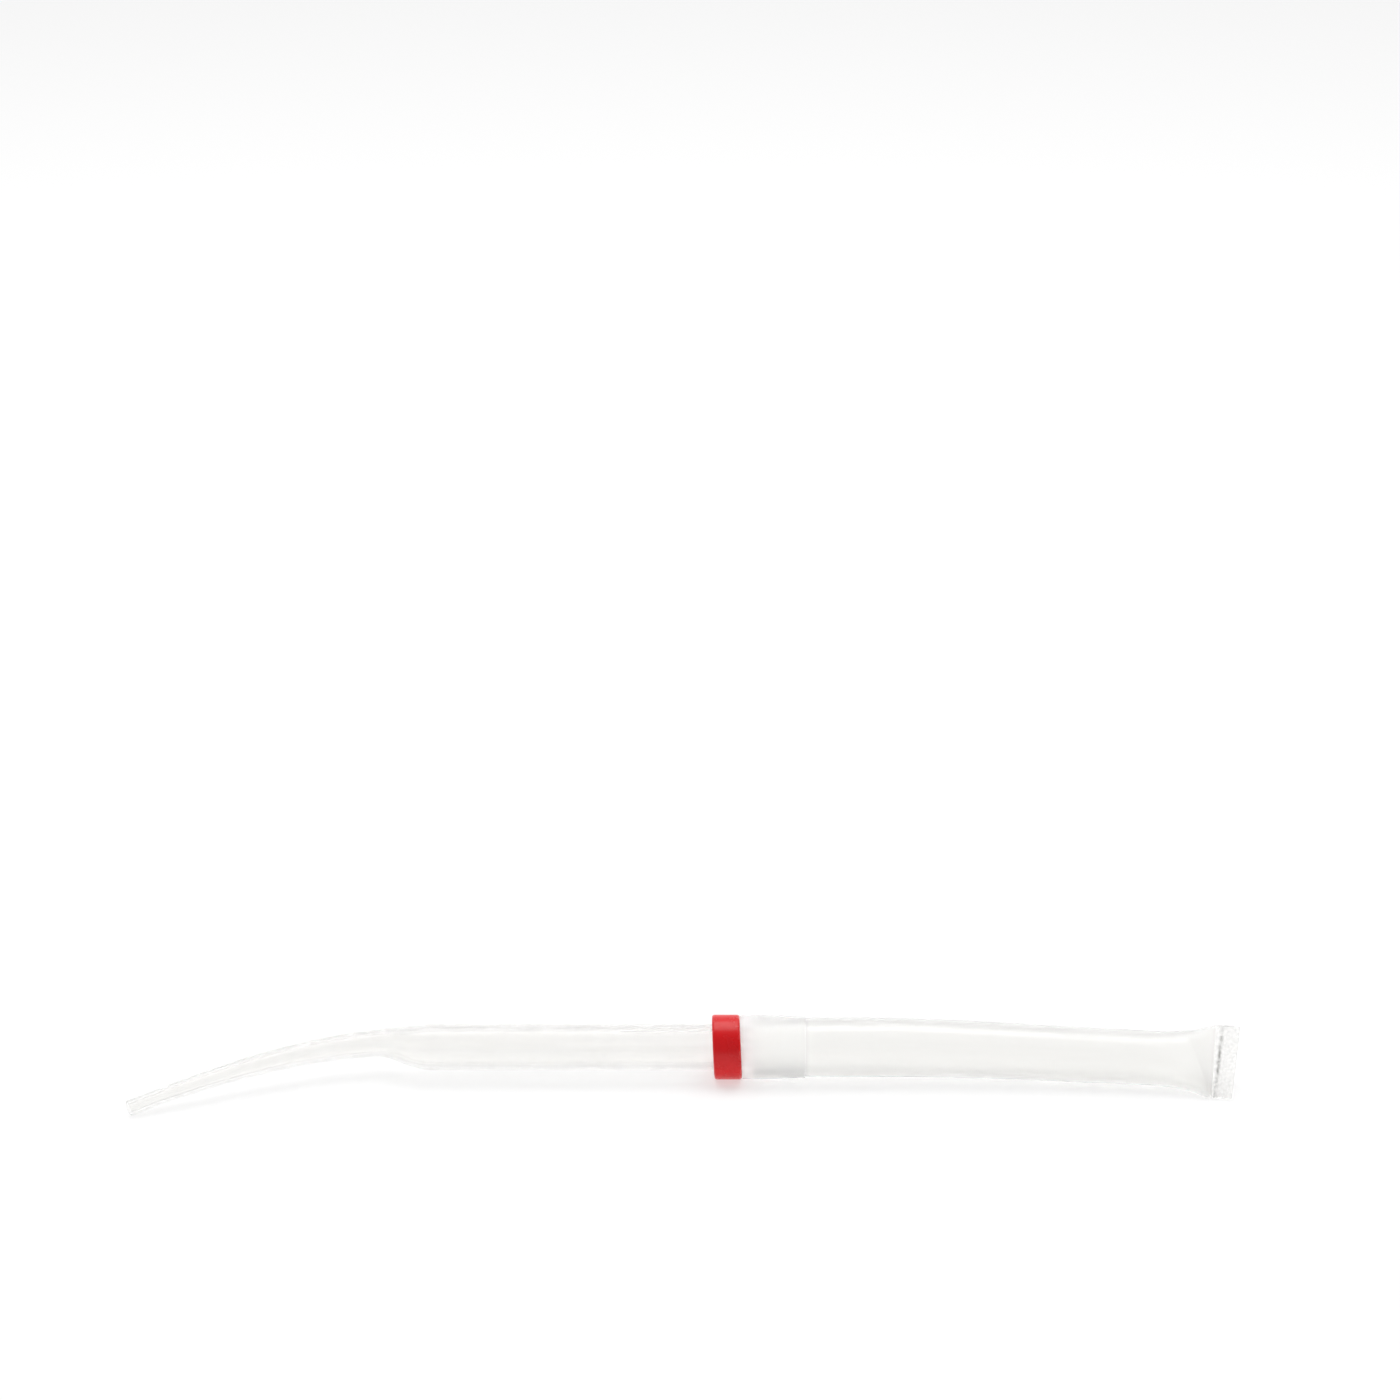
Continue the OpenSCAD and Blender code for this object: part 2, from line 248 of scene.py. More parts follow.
class Plan:
    """A run seen from above, in distances from the middle of the ring: straight as far as its bend,
    and from there the sum of small steps along its heading. way is -1 for a run towards the mouth
    and 1 for one towards the seal."""

    def __init__(self, bend_at, end_at, heading, way):
        self.bend_at, self.way = bend_at, way
        self.fine = np.linspace(bend_at, end_at, PLAN_POINTS)
        turned = heading((self.fine[1:] + self.fine[:-1]) / 2)
        pitch = self.fine[1] - self.fine[0]
        self.x = np.append(way * bend_at, way * (bend_at + np.cumsum(pitch * np.cos(turned))))
        self.y = np.append(0.0, -np.cumsum(pitch * np.sin(turned)))

    def at(self, d):
        """x and y at each distance."""
        straight = d <= self.bend_at
        return (np.where(straight, self.way * d, np.interp(d, self.fine, self.x)),
                np.where(straight, 0.0, np.interp(d, self.fine, self.y)))


class StemLine:
    """The curve of the stem, in distances d from the middle of the ring towards the mouth."""

    def __init__(self, stem, ring):
        self.stem = stem
        self.neck_at = ring.ring_w / 2 + stem.barrel_len
        self.tip_at = self.neck_at + stem.neck_len
        self.mouth_at = self.tip_at + stem.tip_len
        self.straight_at = self.mouth_at - stem.tip_straight
        self.collar_at = ring.ring_w / 2 + SEAT_GAP
        self.shoulder_at = self.collar_at + stem.collar_len
        self.socket_at = self.collar_at + stem.socket_floor
        self.turn_at = self.neck_at + stem.neck_len / 2
        self.run = self.straight_at - self.neck_at
        # The open end rests on the floor, which lies this far below the barrel's axis
        floor = max(ring.ring_d, stem.collar_d) / 2
        self.droop = ((floor - stem.tip_end_d / 2)
                      / (1 + FALL_POWER * stem.tip_straight / self.run))
        self.plan = Plan(self.neck_at, self.straight_at, self.heading, -1)

    def heading(self, d):
        """A turn forward that fades out with the cube of what is left, less a kink back that is a
        squared half-wave along the neck."""
        left = 1 - held((d - self.turn_at) / (self.straight_at - self.turn_at))
        kink = np.sin(math.pi * held((d - self.neck_at) / self.stem.neck_len)) ** 2
        return self.stem.tip_turn * (1 - left ** 3) - self.stem.neck_kink * kink

    def fallen(self, d, power):
        """The share of the fall's run behind d, to a power."""
        return held((d - self.neck_at) / self.run) ** power

    def slope(self, d):
        """How steeply the stem falls: the derivative of its fall, which goes with the power 2.5 of
        the distance."""
        return self.droop * FALL_POWER / self.run * self.fallen(d, FALL_POWER - 1)

    def frames(self, d):
        """Centre, side and up directions of the section at each distance. The straight end runs on
        from where the turn and the fall stop, in the direction that they have there."""
        h, tilt = self.heading(d), np.arctan(self.slope(d))
        x, y = self.plan.at(d)
        z = -self.droop * self.fallen(d, FALL_POWER)
        beyond = np.maximum(0.0, d - self.straight_at)
        x = x - beyond * np.cos(h) * np.cos(tilt)
        y = y - beyond * np.sin(h) * np.cos(tilt)
        z = z - beyond * np.sin(tilt)
        side = np.column_stack([-np.sin(h), np.cos(h), np.zeros_like(h)])
        up = np.column_stack([-np.sin(tilt) * np.cos(h), -np.sin(tilt) * np.sin(h), np.cos(tilt)])
        return np.column_stack([x, y, z]), side, up

    def radius(self, d):
        """Outside radius: an S-shaped neck, then an even taper."""
        stem = self.stem
        neck = (stem.barrel_d / 2 + (stem.tip_root_d - stem.barrel_d) / 2
                * rise(d, self.neck_at, self.tip_at))
        tip = (stem.tip_root_d + (stem.tip_end_d - stem.tip_root_d)
               * held((d - self.tip_at) / (self.straight_at - self.tip_at))) / 2
        return np.where(d < self.tip_at, neck, tip)

    def wall(self, d):
        """Wall, eased from the barrel's to the tip's along the neck."""
        t = rise(d, self.neck_at, self.tip_at)
        return self.stem.barrel_wall * (1 - t) + self.stem.tip_wall * t


class TubeLine:
    """The curve of the bulb tube, in distances s from the middle of the ring towards the seal."""

    def __init__(self, stem, tube, ring):
        self.tube = tube
        collar_at = ring.ring_w / 2 + SEAT_GAP
        self.shoulder_at = collar_at + stem.collar_len
        self.tube_at = collar_at + stem.socket_floor + SEAT_GAP
        self.bend_at = self.shoulder_at + tube.tube_straight
        self.pinch_at = self.shoulder_at + tube.tube_len
        self.seal_at = self.pinch_at + tube.pinch_len
        self.fin_end = self.seal_at + tube.seal_len
        self.drop = tube.tube_far_d / 2 - max(ring.ring_d, stem.collar_d) / 2
        # The flat seal lies over until the box round it is no taller than the tube beside it
        lean = math.atan(tube.seal_t / tube.seal_w)
        self.roll = lean + math.acos(min(1.0, tube.tube_far_d / tube.seal_w * math.cos(lean)))
        self.plan = Plan(self.bend_at, self.fin_end, self.heading, 1)

    def heading(self, s):
        """A smooth turn forward from the straight run to the end of the fin."""
        return self.tube.bulb_turn * rise(s, self.bend_at, self.fin_end)

    def tapered(self, s):
        """How far the tube has thinned, from 0 at its bend to 1 at the pinch."""
        return rise(s, self.bend_at, self.pinch_at)

    def pinched(self, s):
        """How far along the pinch, from 0 at the round tube to 1 at the seal."""
        return held((s - self.pinch_at) / self.tube.pinch_len)

    def frames(self, s):
        """Centre of the section at each distance, and the directions across and through the seal:
        these are the upright and the sideways direction, rolled over by the angle at which the seal
        lies."""
        h = self.heading(s)
        x, y = self.plan.at(s)
        back = np.column_stack([np.sin(h), np.cos(h), np.zeros_like(h)])
        up = np.array([0.0, 0.0, 1.0])
        wide = math.cos(self.roll) * up + math.sin(self.roll) * back
        thick = math.cos(self.roll) * back - math.sin(self.roll) * up
        return np.column_stack([x, y, self.drop * self.tapered(s)]), wide, thick

    def radius(self, s):
        """Outside radius of the round tube, which thins towards the pinch."""
        return (self.tube.tube_d
                + (self.tube.tube_far_d - self.tube.tube_d) * self.tapered(s)) / 2

    def openness(self, s):
        """Share of the section still open: the power 0.65 of 1 less the pinch to the power 1.65."""
        return (1 - self.pinched(s) ** 1.65) ** 0.65

    def folded(self, s, share):
        """The openness, cut off by a fold that runs slantwise across the pinch: between the fold
        and the seal the wall is a flat facet, so it closes evenly. share runs from -1 to 1 across
        the seal."""
        left = self.seal_at - s
        reach = self.tube.fold_foot + (self.tube.fold_top - self.tube.fold_foot) * (1 + share) / 2
        facet = self.openness(self.seal_at - reach) * left / reach
        return np.where((left > 0) & (left < reach), facet, self.openness(s))

    def half_width(self, s):
        """Half the section's width: the tube's radius, which grows to half the seal's width with
        the fourth power of the pinch."""
        return (self.radius(s)
                + (self.tube.seal_w - self.tube.tube_far_d) / 2 * self.pinched(s) ** 4)

    def relief(self, s):
        """Height of the seal's face: a V-shaped weld line, then rounded crimp ribs."""
        tube = self.tube
        half = tube.weld_at / 2
        weld = tube.weld_depth * np.maximum(
            0.0, 1 - np.abs(s - self.seal_at - tube.weld_at) / half)
        pitch = (tube.seal_len - 2 * tube.weld_at) / tube.crimp_ribs
        f = (s - self.seal_at - tube.weld_at - half) / pitch
        ribs = np.where((f > 0) & (f < tube.crimp_ribs), (1 - np.cos(2 * math.pi * f)) / 2, 0.0)
        return np.where(s > self.seal_at, tube.crimp_depth * ribs - weld, 0.0)

    def roundness(self, s):
        """Power of the section's outline, 2 over 1 less 0.72 times the cube of the pinch: 2 is an
        ellipse, and it grows towards a rounded bar."""
        return 2 / (1 - 0.72 * self.pinched(s) ** 3)


# ---------------------------------------------------------------- meshes


def skin(name, grid, closed, fields):
    """Makes one watertight mesh from a grid of points whose columns run round and close on
    themselves. Rows either close on themselves as well, or each end is drawn together in a single
    pole. The faces are turned outwards by the sign of the volume, a third of the sum of point dot
    area over the faces. Each field has one value or vector for a point, or one value for a row."""
    rows, columns = grid.shape[:2]
    points = grid.reshape(-1, 3)
    i = np.arange(rows if closed else rows - 1)[:, None]
    j = np.arange(columns)[None, :]
    near, far, beside = i * columns, (i + 1) % rows * columns, (j + 1) % columns
    quads = np.stack([near + j, near + beside, far + beside, far + j], -1).reshape(-1, 4)
    corners = points[quads]
    areas = np.cross(corners[:, 1] - corners[:, 3], corners[:, 2] - corners[:, 0])
    volume = np.einsum("ij,ij->i", corners[:, 0], areas).sum()
    values = {
        key: np.broadcast_to(value, (rows, columns) + value.shape[2:]).reshape(rows * columns, -1)
        for key, value in fields.items()}
    faces = quads.tolist()
    if not closed:
        first, last = len(points), len(points) + 1
        points = np.vstack([points, grid[0].mean(axis=0), grid[-1].mean(axis=0)])
        values = {key: np.vstack([v, v[:columns].mean(axis=0), v[-columns:].mean(axis=0)])
                  for key, v in values.items()}
        here = np.arange(columns)
        following = (here + 1) % columns
        end = (rows - 1) * columns
        faces += np.column_stack([here, np.full(columns, first), following]).tolist()
        faces += np.column_stack([end + here, end + following, np.full(columns, last)]).tolist()
    if volume < 0:
        faces = [face[::-1] for face in faces]
    mesh = bpy.data.meshes.new(name)
    mesh.from_pydata((points + RING_MIDDLE).tolist(), [], faces)
    for key, value in values.items():
        kind, slot = ("FLOAT_VECTOR", "vector") if value.shape[1] == 3 else ("FLOAT", "value")
        attribute = mesh.attributes.new(key, kind, "POINT")
        attribute.data.foreach_set(slot, value.astype(np.float32).ravel())
    mesh.shade_smooth()
    mesh.set_sharp_from_angle(angle=SHARP_TURN)
    mesh.update()
    piece = bpy.data.objects.new(name, mesh)
    bpy.context.scene.collection.objects.link(piece)
    return piece


def quarter(x, r, radius, a, b, count=5):
    """Points [station, radius] on a quarter-round about (x, r), from angle a to angle b."""
    t = np.radians(np.linspace(a, b, count))
    return np.column_stack([x + radius * np.cos(t), r + radius * np.sin(t)])


def level(x, r):
    """Points [station, radius] that all have one radius."""
    return np.column_stack([x, np.full_like(x, r)])


def turned_grid(profile, columns):
    """Carries a closed profile of [station, radius] round a straight axis: the point at angle a is
    (station, radius cos a, radius sin a)."""
    a = np.linspace(0, 2 * math.pi, columns, endpoint=False)
    x, r = profile[:, 0, None], profile[:, 1, None]
    return np.stack(np.broadcast_arrays(x, r * np.cos(a), r * np.sin(a)), -1)


def leant(grid, ring):
    """Sets the ring and the step behind it out of square: a point moves along the barrel by its
    height times the tangent of the lean, in full as far as the ring's faces and less beyond."""
    step = ring.ring_w / 2 + SEAT_GAP
    kept = 1 - rise(np.abs(grid[..., 0]), step, step + LEAN_FADE)
    shift = math.tan(ring.ring_lean) * grid[..., 2] * kept
    return grid - shift[..., None] * np.array([1.0, 0.0, 0.0])


def stem_grid(stem, tube, ring, columns=128):
    """The stem's closed profile, outside from mouth to collar and inside back again, carried along
    its curve. Each point is the section's centre plus radius times (cos a side + sin a up)."""
    line = StemLine(stem, ring)
    bore = stem.barrel_d / 2 - stem.barrel_wall
    socket = tube.tube_d / 2 + SOCKET_GAP
    lip = socket + stem.lip_wall
    soft = stem.lip_wall / 2
    collar = stem.collar_d / 2
    mouth = stem.tip_end_d / 2
    rim_at = line.mouth_at - MOUTH_EDGE
    thin_at = line.shoulder_at - stem.collar_taper
    outside = -np.append(stations(
        (rim_at, line.straight_at, STRAIGHT_PITCH),
        (line.straight_at, line.tip_at, TIP_PITCH),
        (line.tip_at, line.neck_at, NECK_PITCH),
        (line.neck_at, -line.collar_at, STRAIGHT_PITCH)), -line.collar_at)
    inside = -stations(
        (-line.socket_at, line.neck_at, STRAIGHT_PITCH),
        (line.neck_at, line.tip_at, NECK_PITCH),
        (line.tip_at, line.straight_at, TIP_PITCH),
        (line.straight_at, rim_at, STRAIGHT_PITCH))
    taper = steps(thin_at, line.shoulder_at - soft, TAPER_PITCH)
    thinned = collar + (lip - collar) * rise(taper, thin_at, line.shoulder_at - soft)
    profile = np.vstack([
        quarter(-rim_at, mouth - MOUTH_EDGE, MOUTH_EDGE, 180, 90)[:-1],
        np.column_stack([outside, line.radius(-outside)]),
        level(steps(line.collar_at, thin_at, COLLAR_PITCH), collar),
        np.column_stack([taper, thinned]),
        quarter(line.shoulder_at - soft, lip - soft, soft, 90, 0),
        level(steps(line.shoulder_at, line.socket_at, STRAIGHT_PITCH), socket),
        [[line.socket_at, socket], [line.socket_at, bore]],
        np.column_stack([inside, line.radius(-inside) - line.wall(-inside)])[1:],
        quarter(-rim_at, mouth - stem.tip_wall + MOUTH_EDGE, MOUTH_EDGE, 270, 180)])
    station, radius = profile[:, 0], profile[:, 1]
    centre, side, up = line.frames(-station)
    a = np.linspace(0, 2 * math.pi, columns, endpoint=False)[:, None]
    spoke = np.cos(a) * side[:, None] + np.sin(a) * up[:, None]
    grid = centre[:, None] + radius[:, None, None] * spoke
    # The collar is milky from its front face on, and thick as well until its socket begins
    milky = rise(station, line.collar_at - 0.3 * MM, line.collar_at)
    thick = milky * (1 - rise(station, line.socket_at - 0.2 * MM, line.socket_at + 0.6 * MM))
    return leant(grid, ring), {"unbent": turned_grid(profile, columns),
                               "milky": milky[:, None], "thick": thick[:, None]}


def bulb_grid(stem, tube, ring, columns=256):
    """The bulb's wall as one skin: from the middle of the fin's end, over the outside, round the
    rim and back down the cavity to its closing slit. Each section is a superellipse: the direction
    (w cos a, n sin a), scaled so that |x/w| and |y/n| to the section's power add up to 1."""
    line = TubeLine(stem, tube, ring)
    a = np.linspace(0, 2 * math.pi, columns, endpoint=False) + math.pi / columns
    c, t = np.cos(a), np.sin(a)

    # Growing shares of the fin's flat end, its rounded edge, and shrinking shares of the slit
    cap = np.linspace(0.04, 0.94, 12)
    round_off = np.radians(np.linspace(0, 90, 5))
    closing = np.linspace(0.9, 0.05, 6)
    flat_at = line.fin_end - FIN_EDGE
    narrow_at = line.seal_at - 0.5 * MM
    outer = np.append(stations(
        (flat_at, line.seal_at, FIN_PITCH),
        (line.seal_at, line.pinch_at, PINCH_PITCH),
        (line.pinch_at, line.bend_at, STRAIGHT_PITCH),
        (line.bend_at, line.tube_at, STRAIGHT_PITCH)), line.tube_at)[1:]
    inner = np.append(stations(
        (line.tube_at, line.bend_at, STRAIGHT_PITCH),
        (line.bend_at, line.pinch_at, CAVITY_PITCH),
        (line.pinch_at, narrow_at, CAVITY_PINCH_PITCH)), np.linspace(narrow_at, line.seal_at, 12))
    flat = tube.seal_t / 2
    w_end, n_end = line.half_width(flat_at), flat + line.relief(flat_at)
    inset = FIN_EDGE * (1 - np.sin(round_off))
    # Each row has its station, its half-width, and its half-thickness when shut and what opening
    # adds to it
    rows = [
        (np.full_like(cap, line.fin_end), cap * (w_end - FIN_EDGE), cap * (n_end - FIN_EDGE),
         np.zeros_like(cap)),
        (flat_at + FIN_EDGE * np.cos(round_off), w_end - inset, n_end - inset,
         np.zeros_like(round_off)),
        (outer, line.half_width(outer), flat + line.relief(outer), line.radius(outer) - flat),
        (inner, line.half_width(inner) - tube.tube_wall, np.full_like(inner, SLIT),
         line.radius(inner) - tube.tube_wall - SLIT),
        (np.full_like(closing, line.seal_at),
         closing * (line.half_width(line.seal_at) - tube.tube_wall), closing * SLIT,
         np.zeros_like(closing))]
    s, w, shut, opening = (np.concatenate([row[k] for row in rows])[:, None] for k in range(4))
    outside = np.arange(len(s))[:, None] < len(cap) + len(round_off) + len(outer)
    m = line.roundness(s)
    reach = (np.abs(c) ** m + np.abs(t) ** m) ** (-1 / m)
    share = c * reach
    thickness = shut + opening * line.folded(s, share)
    across, through = w * c * reach, thickness * t * reach

    # The die leaves faint lines along an extruded tube: changes of radius of about two hundredths
    # of a millimetre at most, which fade out where the jaws have flattened it
    die_outside, die_inside = (
        sum(height * np.sin(waves * a + phase) for waves, height, phase in die) * MM
        for die in (DIE_OUTSIDE, DIE_INSIDE))
    fade = np.where(s > line.shoulder_at + 1 * MM, 1 - line.pinched(s), 0.0)
    ripple = np.where(outside, die_outside, die_inside) * fade
    size = np.hypot(across, through)
    across, through = across * (1 + ripple / size), through * (1 + ripple / size)

    # The heated jaws press a fine diamond knurl, cos(x + y) times cos(x - y), into the fin's two
    # faces: it begins beyond the weld line and stops at the fin's end and its two edges
    u = s - line.seal_at
    rounded = tube.seal_len - FIN_EDGE
    beyond = (rise(u, tube.weld_at + 0.2 * MM, tube.weld_at + 0.5 * MM)
              * (1 - rise(u, rounded - 0.1 * MM, rounded)))
    knurl = (np.cos(2 * math.pi * (across + u) / KNURL_PITCH)
             * np.cos(2 * math.pi * (across - u) / KNURL_PITCH))
    face = np.abs(t) ** 0.5 * (np.abs(c) < 0.985)
    through = through + np.sign(t) * np.where(outside, KNURL_HEIGHT * knurl * beyond * face, 0.0)

    centre, wide, thick = line.frames(s[:, 0])
    # The jaws came down a little askew, so the weld line and the fin's end slant
    along = np.cross(thick, wide)
    askew = math.tan(tube.seal_lean) * across * rise(u, 0.0, tube.weld_at)
    grid = (centre[:, None] + across[..., None] * wide[:, None]
            + through[..., None] * thick[:, None] + askew[..., None] * along[:, None])
    unbent = np.stack([np.broadcast_to(s, across.shape), across, through], -1)
    # The weld groove's painted shade is strongest in its middle, and its skin is sealed from just
    # before the seal
    weld = (np.maximum(0.0, 1 - np.abs(u - tube.weld_at) / GROOVE_SHADE_REACH) * outside
            * (1 - 0.6 * share ** 2))
    sealed = rise(u, -0.4 * MM, 0.2 * MM) * outside
    # Inside the socket, ahead of the shoulder, the tube's skin is made to show less
    gripped = 1 - rise(s, line.shoulder_at - 0.2 * MM, line.shoulder_at + 0.2 * MM)
    return grid, {"unbent": unbent, "weld": weld, "sealed": sealed, "gripped": gripped}


def ring_grid(stem, ring, columns=192):
    """The ring's closed profile, a flat band with rounded outer edges and softened ends of the
    bore, turned about the axis and leant."""
    half, r, e = ring.ring_w / 2, ring.ring_d / 2, ring.ring_round
    bore = stem.barrel_d / 2 + RING_GAP
    bore_end = half - BORE_EDGE
    middle = (r + bore) / 2
    profile = np.vstack([
        quarter(-half + e, r - e, e, 180, 90, 9),
        level(np.linspace(-half + e, half - e, 14)[1:-1], r),
        quarter(half - e, r - e, e, 90, 0, 9),
        [[half, middle]],
        quarter(bore_end, bore + BORE_EDGE, BORE_EDGE, 0, -90, 4),
        level(np.linspace(bore_end, -bore_end, 8)[1:-1], bore),
        quarter(-bore_end, bore + BORE_EDGE, BORE_EDGE, -90, -180, 4),
        [[-half, middle]]])
    grid = turned_grid(profile, columns)
    return leant(grid, ring), {"unbent": grid}


# ---------------------------------------------------------------- materials


def add(tree, kind, inputs=None, **settings):
    """Adds one node: settings are its properties, and inputs are its sockets' values or links."""
    node = tree.nodes.new(kind)
    for key, value in settings.items():
        setattr(node, key, value)
    for socket, value in (inputs or {}).items():
        if isinstance(value, bpy.types.NodeSocket):
            tree.links.new(value, node.inputs[socket])
        else:
            node.inputs[socket].default_value = value
    return node


def blank_material(name):
    """A new material with only its output, and the output's surface socket."""
    material = bpy.data.materials.new(name)
    material.use_nodes = True
    tree = material.node_tree
    tree.nodes.clear()
    return material, tree, add(tree, "ShaderNodeOutputMaterial").inputs["Surface"]


def repeats(millimetres):
    """Scale of a pattern in repeats per metre, to two figures, from its real size."""
    return float(f"{1000 / millimetres:.2g}")


def moulded_polyethylene(settings):
    """Low-density polyethylene, injection moulded. In the thick collar it is frosted and milky. In
    the thin barrel and tip it is clearer and satin, and blurs what is behind it a little. Its index
    is matched down, from 1.51 to 1.3, because at 1.51 its edges come out darker and harder.
    Flow in the mould leaves faint streaks 1.4 mm across, drawn out 40 mm along the stem."""
    material, tree, surface = blank_material("moulded_polyethylene")
    unbent = add(tree, "ShaderNodeAttribute", attribute_name="unbent").outputs["Vector"]
    milky = add(tree, "ShaderNodeAttribute", attribute_name="milky").outputs["Fac"]
    drawn = add(tree, "ShaderNodeMapping", {
        "Vector": unbent, "Scale": (repeats(40), repeats(1.43), repeats(1.43))}).outputs["Vector"]
    cloud = add(tree, "ShaderNodeTexNoise", {
        "Vector": drawn, "Scale": 1.0, "Detail": 3.0}).outputs["Fac"]
    # The grain of the mould is finer than shows, so it is drawn an eighth of a millimetre across
    grain = add(tree, "ShaderNodeTexNoise", {
        "Vector": unbent, "Scale": repeats(0.125), "Detail": 2.0}).outputs["Fac"]
    clear = add(tree, "ShaderNodeMapRange", {
        "Value": milky, "From Min": 0.0, "From Max": 1.0,
        "To Min": 0.86, "To Max": 0.98}).outputs["Result"]
    cloudy = add(tree, "ShaderNodeMapRange", {
        "Value": cloud, "From Min": 0.3, "From Max": 0.7,
        "To Min": -0.1, "To Max": 0.08}).outputs["Result"]
    solid = add(tree, "ShaderNodeMapRange", {
        "Value": milky, "From Min": 0.0, "From Max": 1.0,
        "To Min": 0.38, "To Max": 0.35}).outputs["Result"]
    # The thick part of the collar lets less light through
    thick = add(tree, "ShaderNodeAttribute", attribute_name="thick").outputs["Fac"]
    dimmed = add(tree, "ShaderNodeMath", {
        0: thick, 1: -0.3, 2: clear}, operation="MULTIPLY_ADD").outputs[0]
    passing = add(tree, "ShaderNodeMath", {0: dimmed, 1: cloudy}, operation="ADD").outputs[0]
    sheen = add(tree, "ShaderNodeMapRange", {
        "Value": cloud, "From Min": 0.3, "From Max": 0.7,
        "To Min": 0.1, "To Max": 0.2}).outputs["Result"]
    rough = add(tree, "ShaderNodeMath", {
        0: milky, 1: 0.5, 2: sheen}, operation="MULTIPLY_ADD").outputs[0]
    bump = add(tree, "ShaderNodeBump", {
        "Height": grain, "Strength": 0.12, "Distance": 0.02 * MM}).outputs["Normal"]
    tint = add(tree, "ShaderNodeMix", {
        "Factor": milky, 6: settings.plastic, 7: linear("FFFFFE")}, data_type="RGBA").outputs[2]
    shader = add(tree, "ShaderNodeBsdfPrincipled", {
        "Base Color": tint, "Roughness": rough, "IOR": 1.3,
        "Transmission Weight": passing, "Alpha": solid, "Normal": bump,
        "Subsurface Weight": 1.0, "Subsurface Radius": (1.0, 1.0, 0.95),
        "Subsurface Scale": 2 * MM})
    tree.links.new(shader.outputs[0], surface)
    return material


def extruded_polyethylene(settings):
    """Low-density polyethylene, extruded as a clear tube: a soft gleam runs its whole length,
    broken by die lines about 0.7 mm apart round the tube. Its index, too, is matched down,
    from 1.51 to 1.4. Where the hot jaws closed it, it is smoother but speckled with whitish
    dimples, and painted shade darkens the weld line's groove in broken dashes."""
    material, tree, surface = blank_material("extruded_polyethylene")
    unbent = add(tree, "ShaderNodeAttribute", attribute_name="unbent").outputs["Vector"]
    weld = add(tree, "ShaderNodeAttribute", attribute_name="weld").outputs["Fac"]
    sealed = add(tree, "ShaderNodeAttribute", attribute_name="sealed").outputs["Fac"]
    lines = add(tree, "ShaderNodeMapping", {
        "Vector": unbent, "Scale": (repeats(83), repeats(0.71), repeats(0.71))}).outputs["Vector"]
    streak = add(tree, "ShaderNodeTexNoise", {
        "Vector": lines, "Scale": 1.0, "Detail": 4.0}).outputs["Fac"]
    # Dimples of a quarter of a millimetre left by the jaws
    dimple = add(tree, "ShaderNodeTexVoronoi", {
        "Vector": unbent, "Scale": repeats(0.25)}).outputs["Distance"]
    dimpled = add(tree, "ShaderNodeMath", {0: dimple, 1: sealed}, operation="MULTIPLY").outputs[0]
    height = add(tree, "ShaderNodeMath", {0: streak, 1: dimpled}, operation="ADD").outputs[0]
    bump = add(tree, "ShaderNodeBump", {
        "Height": height, "Strength": 0.3, "Distance": 0.03 * MM}).outputs["Normal"]
    rough = add(tree, "ShaderNodeMapRange", {
        "Value": sealed, "From Min": 0.0, "From Max": 1.0,
        "To Min": 0.38, "To Max": 0.25}).outputs["Result"]
    # The jaws also leave whitish specks in the seal, which show darker against a bright ground
    fleck = add(tree, "ShaderNodeTexNoise", {
        "Vector": unbent, "Scale": repeats(0.42), "Detail": 2.0}).outputs["Fac"]
    flecked = add(tree, "ShaderNodeMapRange", {
        "Value": fleck, "From Min": 0.44, "From Max": 0.62,
        "To Min": -0.05, "To Max": -0.32}).outputs["Result"]
    clear = add(tree, "ShaderNodeMath", {
        0: flecked, 1: sealed, 2: 0.96}, operation="MULTIPLY_ADD").outputs[0]
    # The weld groove's painted shade is darkest in broken dashes about 0.8 mm long
    dash = add(tree, "ShaderNodeTexNoise", {
        "Vector": unbent, "Scale": repeats(0.77), "Detail": 2.0}).outputs["Fac"]
    broken = add(tree, "ShaderNodeMapRange", {
        "Value": dash, "From Min": 0.4, "From Max": 0.55,
        "To Min": 0.1, "To Max": 1.0}).outputs["Result"]
    groove_shade = add(tree, "ShaderNodeMath", {0: weld, 1: broken}, operation="MULTIPLY").outputs[0]
    # A dark colour is mixed in along the weld line as painted shade of its groove
    groove_shaded_tint = add(tree, "ShaderNodeMix", {
        "Factor": groove_shade, 6: settings.plastic, 7: linear("23211C")}, data_type="RGBA").outputs[2]
    # Its skin shows less inside the socket, and more where the weld groove's painted shade lies
    gripped = add(tree, "ShaderNodeAttribute", attribute_name="gripped").outputs["Fac"]
    freed = add(tree, "ShaderNodeMath", {
        0: gripped, 1: -0.12, 2: 0.42}, operation="MULTIPLY_ADD").outputs[0]
    solid = add(tree, "ShaderNodeMath", {
        0: groove_shade, 1: 0.38, 2: freed}, operation="MULTIPLY_ADD").outputs[0]
    shader = add(tree, "ShaderNodeBsdfPrincipled", {
        "Base Color": groove_shaded_tint, "Roughness": rough, "IOR": 1.4,
        "Transmission Weight": clear, "Alpha": solid, "Normal": bump})
    tree.links.new(shader.outputs[0], surface)
    return material


